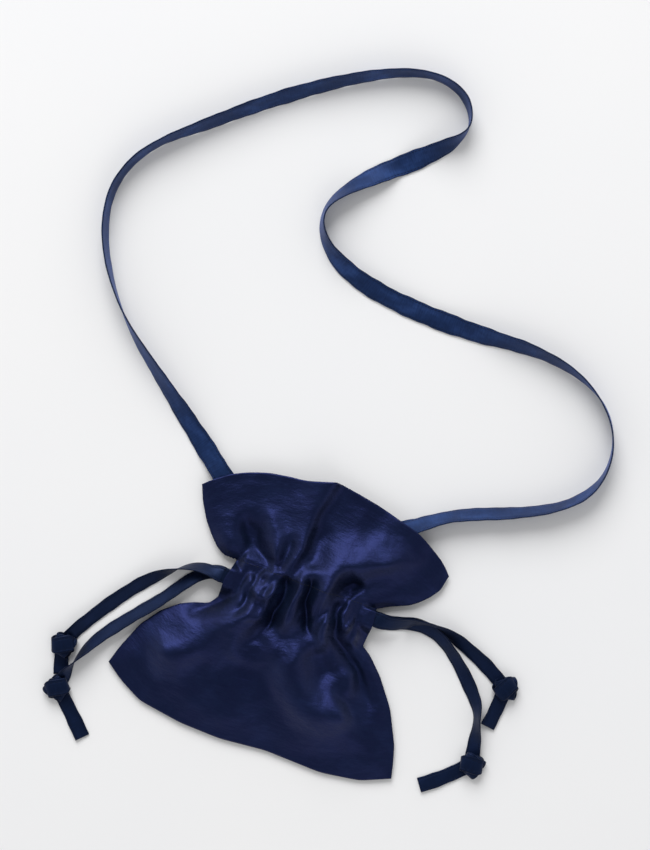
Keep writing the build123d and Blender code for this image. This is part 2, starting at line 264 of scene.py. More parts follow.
def cloth_finish(name, deep, main, pale, glow, roughness, sheen, patch=30.0, seam_shade=0.55):
    """A dyed sateen cloth: uneven dye, fine crosswise slubs, painted shade along the seams and hem, a soft
    violet shine.
    """
    material, tree, shader = new_material(name)
    coords = put(tree, "ShaderNodeUVMap", uv_map="cloth").outputs["UV"]
    dye = stretched_noise(tree, coords, (patch, patch * 1.3, 1), 3.0, 0.55)
    colour = ramp(tree, dye, [(0.28, deep), (0.52, main), (0.75, pale)])
    slub = stretched_noise(tree, coords, (90, 1500, 1), 3.0, 0.6)
    colour = blend_colour(tree, 1.0, colour,
                          ramp(tree, slub, [(0.25, (0.45, 0.45, 0.5)), (0.8, (1.8, 1.8, 1.7))]),
                          "MULTIPLY")
    thread = stretched_noise(tree, coords, (1300, 260, 1), 2.0, 0.5)
    colour = blend_colour(tree, 1.0, colour,
                          ramp(tree, thread, [(0.2, (0.78, 0.78, 0.8)), (0.85, (1.25, 1.25, 1.2))]),
                          "MULTIPLY")
    edge = put(tree, "ShaderNodeAttribute", attribute_name="edge").outputs["Fac"]
    # painted shade: the colour darkens towards deep along the seams and hem, where the cloth folds under
    colour = blend_colour(tree, sums(tree, "MULTIPLY", edge, seam_shade), colour, (*deep, 1))
    tree.links.new(colour, shader.inputs["Base Color"])
    worn = stretched_noise(tree, coords, (22, 40, 1), 4.0, 0.65)
    tree.links.new(grey(tree, worn, roughness - 0.09, roughness + 0.13), shader.inputs["Roughness"])
    tree.links.new(grey(tree, slub, sheen * 0.6, sheen * 1.4), shader.inputs["Sheen Weight"])
    shader.inputs["Sheen Tint"].default_value = (*glow, 1)
    shader.inputs["Sheen Roughness"].default_value = 0.45
    shader.inputs["Specular Tint"].default_value = (0.20, 0.26, 1.0, 1)
    shader.inputs["Specular IOR Level"].default_value = 0.72
    crinkle = stretched_noise(tree, coords, (45, 90, 1), 4.0, 0.6)
    height = sums(tree, "ADD", sums(tree, "MULTIPLY", slub, 0.16), sums(tree, "MULTIPLY", thread, 0.08))
    height = sums(tree, "ADD", height, sums(tree, "MULTIPLY", crinkle, 1.7))
    bump = put(tree, "ShaderNodeBump", {"Strength": 0.8, "Distance": 0.0008, "Height": height})
    tree.links.new(bump.outputs["Normal"], shader.inputs["Normal"])
    return material


def tape_finish(name, deep, main, pale, glow, width, roughness=0.5, sheen=0.3, pitch=0.0026, shine=0.5):
    """A folded, edge-stitched tape: uneven dye, dashed stitches near both edges, painted shade by the
    stitches and at the edges.
    """
    material, tree, shader = new_material(name)
    coords = put(tree, "ShaderNodeUVMap", uv_map="cloth").outputs["UV"]
    parts = put(tree, "ShaderNodeSeparateXYZ", {"Vector": coords})
    across, length = parts.outputs["X"], parts.outputs["Y"]
    dye = stretched_noise(tree, coords, (60, 34, 1), 3.0, 0.6)
    colour = ramp(tree, dye, [(0.25, deep), (0.5, main), (0.78, pale)])
    slub = stretched_noise(tree, coords, (130, 1200, 1), 3.0, 0.6)
    colour = blend_colour(tree, 1.0, colour,
                          ramp(tree, slub, [(0.2, (0.66, 0.66, 0.68)), (0.85, (1.42, 1.42, 1.4))]),
                          "MULTIPLY")
    stitches_in, half_thread, dash_share, groove_reach, rim_shade_width = 0.0016, 0.00032, 0.68, 0.0009, 0.0006
    off = sums(tree, "ABSOLUTE", sums(tree, "SUBTRACT", sums(tree, "ABSOLUTE", across),
                                      width / 2 - stitches_in))
    line = sums(tree, "LESS_THAN", off, half_thread)
    dash = sums(tree, "LESS_THAN", sums(tree, "FRACT", sums(tree, "DIVIDE", length, pitch)), dash_share)
    stitch = sums(tree, "MULTIPLY", line, dash)
    # painted shade: the colour darkens in the groove beside each row of stitches, which is also a real
    # dent in the bump
    near = sums(tree, "MINIMUM", sums(tree, "DIVIDE", off, groove_reach), 1.0)
    groove_and_shade = sums(tree, "SUBTRACT", 1.0, near)
    colour = blend_colour(tree, sums(tree, "MULTIPLY", groove_and_shade, 0.3), colour, (*deep, 1))
    dark = tuple(0.2 * c for c in deep)
    colour = blend_colour(tree, sums(tree, "MULTIPLY", stitch, 0.8), colour, (*dark, 1))
    # painted shade: a dark rim along both edges of the tape, where its folded edge turns away from the
    # light
    rim_shade = sums(tree, "GREATER_THAN", sums(tree, "ABSOLUTE", across), width / 2 - rim_shade_width)
    colour = blend_colour(tree, sums(tree, "MULTIPLY", rim_shade, 0.7), colour, (*dark, 1))
    tree.links.new(colour, shader.inputs["Base Color"])
    worn = stretched_noise(tree, coords, (120, 60, 1), 3.0, 0.6)
    tree.links.new(grey(tree, worn, roughness - 0.1, roughness + 0.12), shader.inputs["Roughness"])
    tree.links.new(grey(tree, slub, sheen * 0.6, sheen * 1.4), shader.inputs["Sheen Weight"])
    shader.inputs["Sheen Tint"].default_value = (*glow, 1)
    shader.inputs["Sheen Roughness"].default_value = 0.4
    shader.inputs["Specular Tint"].default_value = (0.26, 0.40, 1.0, 1)
    shader.inputs["Specular IOR Level"].default_value = shine
    height = sums(tree, "ADD", sums(tree, "MULTIPLY", slub, 0.5), sums(tree, "MULTIPLY", worn, 1.2))
    height = sums(tree, "SUBTRACT", height, sums(tree, "MULTIPLY", groove_and_shade, 0.8))
    height = sums(tree, "ADD", height, sums(tree, "MULTIPLY", stitch, 0.9))
    bump = put(tree, "ShaderNodeBump", {"Strength": 0.6, "Distance": 0.0004, "Height": height})
    tree.links.new(bump.outputs["Normal"], shader.inputs["Normal"])
    return material


def shell_material():
    return cloth_finish("navy_sateen", (0.0005, 0.0017, 0.0038), (0.0009, 0.0032, 0.0066),
                        (0.0036, 0.0076, 0.0210), (0.30, 0.33, 0.95), 0.45, 0.02)


def lining_material():
    return cloth_finish("navy_lining", (0.002, 0.004, 0.013), (0.004, 0.008, 0.026),
                        (0.008, 0.014, 0.045), (0.4, 0.45, 0.9), 0.62, 0.08, patch=45.0)


def strap_material():
    return tape_finish("strap_webbing_cloth", (0.0036, 0.0100, 0.034), (0.0085, 0.0220, 0.074),
                       (0.0240, 0.0560, 0.180), (0.26, 0.38, 1.0), STRAP_WIDTH, 0.50, 0.28,
                       shine=0.35)


def drawstring_material():
    return tape_finish("drawstring_tape_cloth", (0.0010, 0.0030, 0.0100), (0.0021, 0.0056, 0.0190),
                       (0.0055, 0.0115, 0.0410), (0.36, 0.42, 1.0), TAPE_WIDTH, 0.46, 0.03, 0.0023,
                       shine=0.35)


def thread_material():
    material, tree, shader = new_material("navy_thread")
    place = put(tree, "ShaderNodeTexCoord").outputs["Object"]
    twist = stretched_noise(tree, place, (900, 900, 900), 2.0, 0.5)
    tone = ramp(tree, twist, [(0.3, (0.002, 0.004, 0.012)), (0.7, (0.005, 0.009, 0.026))])
    tree.links.new(tone, shader.inputs["Base Color"])
    tree.links.new(grey(tree, twist, 0.4, 0.65), shader.inputs["Roughness"])
    shader.inputs["Sheen Weight"].default_value = 0.1
    shader.inputs["Specular IOR Level"].default_value = 0.2
    bump = put(tree, "ShaderNodeBump", {"Strength": 0.5, "Distance": 0.0001, "Height": twist})
    tree.links.new(bump.outputs["Normal"], shader.inputs["Normal"])
    return material


def floor_material():
    material, tree, shader = new_material("pale_surface")
    place = put(tree, "ShaderNodeTexCoord").outputs["Object"]
    cloud = stretched_noise(tree, place, (3, 3, 3), 3.0, 0.5)
    tone = ramp(tree, cloud, [(0.3, (0.845, 0.85, 0.865)), (0.7, (0.865, 0.865, 0.87))])
    tree.links.new(tone, shader.inputs["Base Color"])
    shader.inputs["Roughness"].default_value = 0.8
    shader.inputs["Specular IOR Level"].default_value = 0.1
    return material


# ---------------------------------------------------------------- camera, light, floor
def photo_camera():
    """Straight down over the picture's middle, from a standing height."""
    height = 1.6
    data = bpy.data.cameras.new("photo_camera")
    data.sensor_width = 36
    data.lens = 36 * height / PHOTO_HEIGHT
    camera = bpy.data.objects.new("photo_camera", data)
    bpy.context.scene.collection.objects.link(camera)
    camera.location = (*PHOTO_CENTRE, height)
    camera.rotation_euler = (0, 0, PHOTO_TURN)
    bpy.context.scene.camera = camera


def in_picture(right, up, z):
    """A point given by how far right and up of the picture's middle it is."""
    c, s = math.cos(PHOTO_TURN), math.sin(PHOTO_TURN)
    return Vector((PHOTO_CENTRE[0] + c * right - s * up, PHOTO_CENTRE[1] + s * right + c * up, z))


def soft_light(name, place, size, power, aim=(0, -0.1, 0)):
    data = bpy.data.lights.new(name, "AREA")
    data.shape = "DISK"
    data.size, data.energy = size, power
    light = bpy.data.objects.new(name, data)
    bpy.context.scene.collection.objects.link(light)
    light.location = place
    target = in_picture(*aim)
    light.rotation_euler = (target - Vector(place)).to_track_quat("-Z", "Y").to_euler()


def studio():
    scene = bpy.context.scene
    scene.view_settings.view_transform = "Standard"
    scene.view_settings.look = "None"
    world = bpy.data.worlds.new("pale_room")
    world.use_nodes = True
    sky = world.node_tree.nodes["Background"]
    way = put(world.node_tree, "ShaderNodeTexCoord").outputs["Generated"]
    upward = put(world.node_tree, "ShaderNodeSeparateXYZ", {"Vector": way}).outputs["Z"]
    room = ramp(world.node_tree, upward, [(0.0, (1.0, 1.0, 1.0)), (1.0, (0.20, 0.20, 0.20))])
    world.node_tree.links.new(room, sky.inputs["Color"])
    sky.inputs["Strength"].default_value = 1.13
    scene.world = world
    soft_light("window_light", in_picture(-0.7, 3.6, 2.6), 3.4, 186.0)
    soft_light("low_light", in_picture(0.6, -2.3, 1.8), 1.6, 6.0)
    size = 6.0
    floor = add_mesh("floor", [(-size, -size, 0), (size, -size, 0), (size, size, 0), (-size, size, 0)],
                     [(0, 1, 2, 3)])
    floor.data.materials.append(floor_material())


# ---------------------------------------------------------------- tapes
def followed_line(name, route, step=0.0015):
    """Points evenly spaced along the smooth line through a route."""
    data = bpy.data.curves.new(name, "CURVE")
    data.dimensions = "3D"
    spline = data.splines.new("NURBS")
    spline.points.add(len(route) - 1)
    for point, place in zip(spline.points, route):
        point.co = (*place, 1)
    spline.order_u = 3
    spline.use_endpoint_u = True
    spline.resolution_u = 16
    line = bpy.data.objects.new(name, data)
    bpy.context.scene.collection.objects.link(line)
    mesh = bpy.data.meshes.new_from_object(line)
    points = np.array([v.co[:] for v in mesh.vertices])
    bpy.data.objects.remove(line)
    bpy.data.meshes.remove(mesh)
    length = np.linalg.norm(np.diff(points, axis=0), axis=1).sum()
    count = max(4, round(length / step))
    return along(points, np.linspace(0, 1, count + 1)), length


def tape_section(width, thick):
    """The outline of a folded tape's end: over the top from one edge to the other, then back below."""
    top = [(-1, 0), (-0.96, 0.8), (-0.86, 1), (-0.55, 0.92), (0, 0.86), (0.55, 0.92), (0.86, 1),
           (0.96, 0.8)]
    ring = top + [(-a, -h) for a, h in top]
    return [(a * width / 2, h * thick / 2) for a, h in ring]


def directions(points):
    """Which way a line runs at each point, and which way is level and to its right."""
    travel = np.gradient(points, axis=0)
    travel /= np.linalg.norm(travel, axis=1)[:, None]
    flat = travel.copy()
    flat[:, 2] = 0
    flat /= np.linalg.norm(flat, axis=1)[:, None]
    right = np.cross(flat, (0, 0, 1))
    return travel, right


def tape(name, points, rolls, width, thick, material):
    """A flat tape along points, rolled about its own line; it rests on the surface by its lower edge."""
    s = np.r_[0, np.cumsum(np.linalg.norm(np.diff(points, axis=0), axis=1))]
    places, angles = zip(*rolls)
    roll = np.interp(s, places, angles)
    for _ in range(4):
        roll[1:-1] = (roll[:-2] + 2 * roll[1:-1] + roll[2:]) / 4
    roll = np.radians(roll)
    travel, right = directions(points)
    side = np.cos(roll)[:, None] * right + np.sin(roll)[:, None] * np.array((0, 0, 1.0))
    side -= (side * travel).sum(1)[:, None] * travel
    side /= np.linalg.norm(side, axis=1)[:, None]
    face = np.cross(side, travel)
    centre = points.copy()
    lowest = width / 2 * np.abs(side[:, 2]) + thick / 2 * np.abs(face[:, 2]) + 0.0001
    centre[:, 2] = np.maximum(centre[:, 2], lowest)
    wave = 1 + 0.03 * np.sin(s * 210 + 1) + 0.02 * np.sin(s * 487)
    section = tape_section(width, thick)
    rows, uv = [], []
    for k in range(len(centre)):
        for a, h in section:
            rows.append(centre[k] + side[k] * a * wave[k] + face[k] * h)
            uv.append((a, s[k]))
    n = len(section)
    faces = grid_faces(len(centre), n, around=True)
    faces += [tuple(range(n))[::-1], tuple(range((len(centre) - 1) * n, len(centre) * n))]
    edge = [abs(a) / (width / 2) > 0.9 for _ in centre for a, _ in section]
    obj = add_mesh(name, rows, faces, uv, edge)
    obj.data.materials.append(material)
    return obj, centre


def strap(material):
    """The strap, run on a little under the hem at both ends so that it meets its sewn ends unseen."""
    points, _ = followed_line("strap_line", STRAP)
    step = np.linspace(UNDER_HEM, 0.001, 9)[:, None]
    first = points[0] - (points[1] - points[0]) / np.linalg.norm(points[1] - points[0]) * step
    last = points[-1] + (points[-1] - points[-2]) / np.linalg.norm(points[-1] - points[-2]) * step[::-1]
    first[:, 2] = last[:, 2] = points[0, 2]
    run = np.concatenate([first, points, last])
    rolls = [(place + UNDER_HEM, angle) for place, angle in STRAP_ROLL]
    obj, centre = tape("strap_tape", run, rolls, STRAP_WIDTH, STRAP_THICK, material)
    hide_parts("strap")
    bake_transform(obj)
    return obj, centre


# how each knot's main band crosses it: its turn and its lean in degrees, and to which side the others turn
KNOT_BANDS = {
    "left_upper": (22, 12, 1), "left_lower": (44, -14, -1),
    "right_upper": (52, 16, 1), "right_lower": (14, -12, 1),
}


def knot_band(centre, turn, lean, reach, width, low, high, shift=0.0):
    """One flattened turn of tape round the knot: it leans one way over the top and the other below."""
    t = math.radians(turn)
    e = np.array((math.cos(t), math.sin(t), 0))
    f = np.array((-math.sin(t), math.cos(t), 0))
    count, rows, uv = 40, [], []
    squareness = 2 / 3.2  # 1 would make the turn an ellipse, and less makes it a box
    section = tape_section(width, TAPE_THICK)
    mid, half = (low + high) / 2, (high - low) / 2
    for k in range(count + 1):
        a = 2 * math.pi * k / count
        c, s = math.cos(a), math.sin(a)
        x = reach * math.copysign(abs(c) ** squareness, c)
        z = mid + half * math.copysign(abs(s) ** squareness, s)
        skew = math.radians(lean) * s
        along_e = math.cos(skew) * e + math.sin(skew) * f
        along_f = -math.sin(skew) * e + math.cos(skew) * f
        out = np.array((0, 0, 1)) * s + e * c
        out /= np.linalg.norm(out)
        pinch = 1 - 0.10 * abs(c) ** 3
        here = np.array((*centre[:2], z)) + along_e * x + along_f * shift
        for p, h in section:
            rows.append(here + along_f * p * pinch + out * h)
            uv.append((p, reach * a))
    return rows, uv, grid_faces(count + 1, len(section), around=True)


def knot(which, centre, material, body):
    """An overhand knot as three turns of tape: the broad one on top and two that show beside it."""
    turn, lean, side = KNOT_BANDS[which]
    rows, uv, faces = [], [], []
    for band in (
        knot_band(centre, turn, lean, 0.0080, 0.0122, 0.0008, 0.0074),
        knot_band(centre, turn + 58 * side, -lean, 0.0078, 0.0100, 0.0012, 0.0056, -0.0030),
        knot_band(centre, turn - 24 * side, lean, 0.0066, 0.0095, 0.0018, 0.0064, 0.0024),
    ):
        faces += [tuple(i + len(rows) for i in f) for f in band[2]]
        rows += band[0]
        uv += band[1]
    obj = add_mesh(f"{which}_knot_tape", rows, faces, uv, [0] * len(rows))
    return finish_piece(obj, body, material, "drawstring_tape", f"{which}_knot")


def drawstring_end(side, level, route, rolls, tail_route, tail_rolls, material):
    """One end of a drawstring outside the casing, with its knot and the cut tail past it."""
    body = f"{side}_drawstring"
    name = f"{side}_{level}"
    points, length = followed_line(f"{name}_line", route)
    obj, centre = tape(f"{name}_tape", points, rolls, TAPE_WIDTH, TAPE_THICK, material)
    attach(obj, body)
    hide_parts(f"{name}_end")
    tail_points, _ = followed_line(f"{name}_tail_line", tail_route)
    tail, _ = tape(f"{name}_tail_tape", tail_points, tail_rolls, TAPE_WIDTH, TAPE_THICK, material)
    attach(tail, body)
    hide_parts(f"{name}_tail")
    knotted = knot(name, route[-1], material, body)


def drawstring_loop(side, material):
    """The hidden part of a drawstring, round through the casing and back."""
    sign = -1 if side == "left" else 1
    y = 0.0095 if side == "left" else 0.0213
    half, turn = 0.058, 0.0440  # where the tape comes out, and where it turns back at the far end
    route = [(sign * half, y, 0.0128), (sign * 0.052, y, 0.0122), (sign * 0.040, y, 0.0098),
             (0, y, 0.0095), (-sign * 0.036, y, 0.0095), (-sign * turn, y, 0.0092),
             (-sign * (turn + 0.002), y, 0.0078), (-sign * turn, y, 0.0064),
             (-sign * 0.036, y, 0.0062), (0, y, 0.0062), (sign * 0.040, y, 0.0060),
             (sign * 0.050, y, 0.0038), (sign * half, y, 0.0021)]
    step = 0.002
    points, _ = followed_line(f"{side}_loop_line", route, step)
    section = tape_section(TAPE_WIDTH, TAPE_THICK)
    side_way = np.array((0, 1.0, 0))
    travel = np.gradient(points, axis=0)
    travel /= np.linalg.norm(travel, axis=1)[:, None]
    rows, uv = [], []
    for k, p in enumerate(points):
        face = np.cross(side_way, travel[k])
        for a, h in section:
            rows.append(p + side_way * a + face * h)
            uv.append((a, k * step))
    n = len(section)
    faces = grid_faces(len(points), n, around=True)
    obj = add_mesh(f"{side}_drawstring_loop_tape", rows, faces, uv, [0] * len(rows))
    finish_piece(obj, f"{side}_drawstring", material, "drawstring_tape", f"{side}_drawstring_loop")


# ---------------------------------------------------------------- the pouch's cloth
FOLD_SCALE = 1.3  # all the large folds are this much taller than listed
# the large folds of the front: the line of each, its height (below nought for a valley), how far it
# falls off on its left and on its right, how much of each end fades out, and how round its top is
FOLDS = [
    # the frill: a step down from the left part to the right, a valley and a ridge left of it,
    # and a broad swell on the right that curls down into the neck beside a pocket
    ([(-0.006, 0.108), (-0.012, 0.079), (-0.011, 0.051), (-0.014, 0.039), (-0.021, 0.021)],
     0.0060, 0.0040, 0.0190, (0.0, 0.25), 2),
    ([(-0.064, 0.060), (-0.050, 0.045), (-0.039, 0.031), (-0.031, 0.019)],
     -0.0078, 0.0085, 0.0080, (0.4, 0.2), 1.7),
    ([(-0.053, 0.065), (-0.040, 0.062), (-0.032, 0.050), (-0.0265, 0.036), (-0.026, 0.027)],
     0.0034, 0.0060, 0.0090, (0.4, 0.2), 2),
    ([(-0.024, 0.058), (-0.020, 0.042), (-0.022, 0.026)], -0.0052, 0.0050, 0.0055, (0.4, 0.2), 1.5),
    ([(0.080, 0.084), (0.053, 0.063), (0.030, 0.054), (0.017, 0.044), (0.0155, 0.028),
      (0.021, 0.010)], 0.0085, 0.0085, 0.0200, (0.35, 0.2), 2),
    ([(0.036, 0.047), (0.029, 0.036), (0.029, 0.023)], -0.0075, 0.0070, 0.0070, (0.3, 0.3), 1.6),
    ([(-0.002, 0.075), (0.000, 0.055), (0.001, 0.036)], -0.0030, 0.0080, 0.0060, (0.4, 0.2), 2),
    # the neck: the pleats drawn together by the tapes, and two of them curled round
    ([(-0.048, 0.036), (-0.044, 0.020), (-0.046, 0.002), (-0.054, -0.014)],
     -0.0050, 0.0035, 0.0045, (0.2, 0.3), 1.2),
    ([(-0.038, 0.028), (-0.035, 0.013), (-0.037, -0.004), (-0.046, -0.019)],
     -0.0065, 0.0040, 0.0045, (0.2, 0.35), 1.2),
    ([(-0.041, 0.021), (-0.037, 0.011), (-0.030, 0.006), (-0.023, 0.006), (-0.0185, 0.013),
      (-0.018, 0.024)], 0.0035, 0.0030, 0.0035, (0.25, 0.25), 2),
    ([(-0.029, 0.022), (-0.028, 0.014)], -0.0035, 0.0040, 0.0040, (0.3, 0.3), 1.6),
    ([(-0.0155, 0.030), (-0.0105, 0.008), (-0.0125, -0.009), (-0.0170, -0.027)],
     -0.0085, 0.0042, 0.0045, (0.15, 0.35), 1.2),
    ([(-0.007, 0.036), (-0.0016, 0.020), (-0.0024, 0.002), (-0.0015, -0.014)],
     0.0045, 0.0050, 0.0045, (0.2, 0.3), 2),
    ([(0.0005, 0.036), (0.0067, 0.015), (0.0130, 0.000), (0.0210, -0.013)],
     -0.0075, 0.0040, 0.0042, (0.2, 0.35), 1.2),
    ([(0.021, 0.013), (0.026, -0.004), (0.033, -0.018)], 0.0040, 0.0050, 0.0045, (0.25, 0.4), 2),
    ([(0.0315, 0.022), (0.0335, 0.012), (0.0380, 0.007), (0.0450, 0.008)],
     0.0035, 0.0030, 0.0035, (0.2, 0.2), 2),
    ([(0.048, 0.034), (0.0455, 0.018), (0.050, 0.004)], -0.0045, 0.0035, 0.0040, (0.2, 0.3), 1.3),
    # the body: a long ridge towards the left corner with a hollow above it, a small rounded end of
    # a pleat, a large crescent round a hollow, a valley down the right and a slack rise by the foot
    ([(-0.025, 0.002), (-0.031, -0.010), (-0.050, -0.033), (-0.073, -0.056), (-0.090, -0.069)],
     0.0070, 0.0180, 0.0140, (0.15, 0.2), 2),
    ([(-0.044, -0.004), (-0.058, -0.016), (-0.074, -0.030)], -0.0030, 0.0070, 0.0065, (0.3, 0.3), 1.6),
    ([(-0.038, -0.026), (-0.030, -0.037), (-0.020, -0.0405), (-0.0115, -0.0385), (-0.0055, -0.030),
      (-0.002, -0.014)], 0.0022, 0.0070, 0.0060, (0.2, 0.2), 2),
    ([(-0.022, -0.010), (-0.020, -0.020), (-0.019, -0.031)], -0.0030, 0.0080, 0.0080, (0.2, 0.3), 1.8),
    ([(0.0, -0.010), (0.010, -0.028), (0.019, -0.0450), (0.031, -0.0560), (0.046, -0.0585),
      (0.058, -0.0530), (0.066, -0.0450)], 0.0088, 0.0145, 0.0155, (0.3, 0.12), 2),
    ([(0.059, -0.040), (0.058, -0.030), (0.0525, -0.017)], 0.0024, 0.0060, 0.0070, (0.3, 0.3), 2),
    ([(0.022, -0.014), (0.034, -0.027), (0.047, -0.033)], -0.0036, 0.0095, 0.0095, (0.3, 0.3), 2),
    ([(0.028, 0.030), (0.030, 0.014), (0.038, -0.004), (0.055, -0.015), (0.074, -0.0375),
      (0.086, -0.058)], -0.0080, 0.0055, 0.0065, (0.1, 0.4), 1.4),
    ([(0.010, -0.060), (-0.030, -0.078), (-0.065, -0.085)], 0.0015, 0.0200, 0.0200, (0.3, 0.3), 2),
]


def softened(points, count):
    """A line through given points with its corners rounded off."""
    line = along(points, np.linspace(0, 1, count))
    for _ in range(max(2, count // 12)):
        line[1:-1] = (line[:-2] + 2 * line[1:-1] + line[2:]) / 4
    return along(line, np.linspace(0, 1, count))


def between(low, high, left, right):
    """The plan of a four-sided piece of cloth, filled in smoothly between its four sides."""
    v = np.linspace(0, 1, len(left))[:, None, None]
    u = np.linspace(0, 1, len(low))[None, :, None]
    edges = (1 - v) * low[None] + v * high[None] + (1 - u) * left[:, None] + u * right[:, None]
    return edges - ((1 - u) * (1 - v) * low[0] + u * (1 - v) * low[-1]
                    + (1 - u) * v * high[0] + u * v * high[-1])


def gap_to(plan, line):
    """How far each point of the plan is from a line."""
    line = along(line, np.linspace(0, 1, 90))
    flat = plan.reshape(-1, 2)
    return np.linalg.norm(flat[:, None] - line[None], axis=2).min(1).reshape(plan.shape[:2])


def crumple(plan, scale, turn=0.0, stretch=1.0, seed=0.0):
    """Smooth noise over the plan, with its grain turned and stretched."""
    c, s = math.cos(turn), math.sin(turn)
    values = [noise.noise(((c * x + s * y) * scale, (-s * x + c * y) * scale * stretch, seed))
              for x, y in plan.reshape(-1, 2)]
    return np.array(values).reshape(plan.shape[:2])


def pouch_plan(inset=0.0):
    """Where the cloth lies, seen from above: body, casing and frill, row by row from foot to mouth.
    An inset draws the mouth's edge in by that much, so that the back stays hidden under the front."""
    cols = COLUMNS + 1
    casing_low = softened([LEFT_SIDE[0], (-0.020, -0.0065), (0.020, -0.003), RIGHT_SIDE[0]], cols)
    casing_high = softened([FRILL_LEFT[0], (-0.020, 0.0255), (0.020, 0.027), FRILL_RIGHT[0]], cols)
    body = between(softened(FOOT, cols), casing_low,
                   softened(LEFT_SIDE[::-1], BODY_ROWS + 1), softened(RIGHT_SIDE[::-1], BODY_ROWS + 1))
    casing = between(casing_low, casing_high,
                     softened([LEFT_SIDE[0], (-0.0565, 0.008), FRILL_LEFT[0]], CASING_ROWS + 1),
                     softened([RIGHT_SIDE[0], (0.0575, 0.014), FRILL_RIGHT[0]], CASING_ROWS + 1))
    frill = between(casing_high, softened(MOUTH, cols),
                    softened(FRILL_LEFT, FRILL_ROWS + 1), softened(FRILL_RIGHT, FRILL_ROWS + 1))
    plan = np.concatenate([body[:-1], casing[:-1], frill])
    if inset:
        away = plan[-1]
        share = np.linspace(0, 1, FRILL_ROWS + 1)[:, None, None] ** 2
        plan[-FRILL_ROWS - 1:] -= share * inset * away / np.linalg.norm(away, axis=1)[:, None]
    return plan


def flat_rows():
    """How far up the flat cloth each row of points is."""
    return np.r_[np.linspace(FLAT_FOOT, CASING_LOW, BODY_ROWS + 1)[:-1],
                 np.linspace(CASING_LOW, CASING_HIGH, CASING_ROWS + 1)[:-1],
                 np.linspace(CASING_HIGH, FLAT_MOUTH, FRILL_ROWS + 1)]


def swell(gap, reach):
    """From 0 at an edge to 1 once it is that far away, steep at first, as soft cloth rises."""
    t = np.clip(gap / reach, 0, 1)
    return 1 - (1 - t) ** 2.2


def fold_line(plan, line, height, left, right, ends, power):
    """A ridge or valley along a line, falling off over its own distance on each side."""
    count = 70
    line = softened(line, count)
    flat = plan.reshape(-1, 2)
    gaps = np.linalg.norm(flat[:, None] - line[None], axis=2)
    near = gaps.argmin(1)
    travel = np.gradient(line, axis=0)
    off = flat - line[near]
    turn = travel[near, 0] * off[:, 1] - travel[near, 1] * off[:, 0]
    reach = np.where(turn > 0, left, right)
    share = near / (count - 1)
    fade = smooth_step(share, 0, ends[0]) if ends[0] else 1.0
    fade = fade * (smooth_step(1 - share, 0, ends[1]) if ends[1] else 1.0)
    lift = height * fade * np.exp(-(gaps.min(1) / reach) ** power)
    return lift.reshape(plan.shape[:2])


def gathers(plan):
    """Small uneven pleats that run out from the casing into the body and the frill."""
    rows, cols = plan.shape[:2]
    z = np.zeros((rows, cols))
    middle = 0.011  # how far up the pouch the casing's middle is
    for j in range(rows):
        y = plan[j, cols // 2, 1]
        reach = 0.020 if y < middle else 0.022
        strength = math.exp(-(abs(y - middle) / reach) ** 1.7)
        if strength < 0.01:
            continue
        for i in range(cols):
            u = i / (cols - 1)
            wide = noise.noise((u * 13, y * 16, 3.0))
            fine = noise.noise((u * 34 + 2 * wide, y * 34, 8.0))
            pleat, crease = 0.0046 * (0.5 - abs(wide) * 1.7), 0.0009 * (0.4 - abs(fine) * 1.6)
            z[j, i] = strength * (pleat + crease)
    return z


def smooth_max(a, b, round_off=0.0012):
    """The larger of two heights, with the corner between them rounded off."""
    return np.logaddexp(a / round_off, b / round_off) * round_off


def over_tapes(plan):
    """The least height of the front, so that it clears the tapes in the casing and where they come out."""
    x, y = plan[:, :, 0], plan[:, :, 1]
    inside = smooth_step(y, -0.012, 0.003) * smooth_step(-y, -0.040, -0.027)
    inside = inside * smooth_step(-np.abs(x), -0.055, -0.046)
    left = smooth_step(y, -0.008, 0.004) * smooth_step(-y, -0.024, -0.015) * (x < 0)
    right = smooth_step(y, 0.004, 0.016) * smooth_step(-y, -0.0287, -0.0265) * (x > 0)
    ends = (left + right) * smooth_step(np.abs(x), 0.034, 0.052)
    return smooth_max(0.0014 + 0.0098 * inside, 0.0012 + 0.0125 * ends)


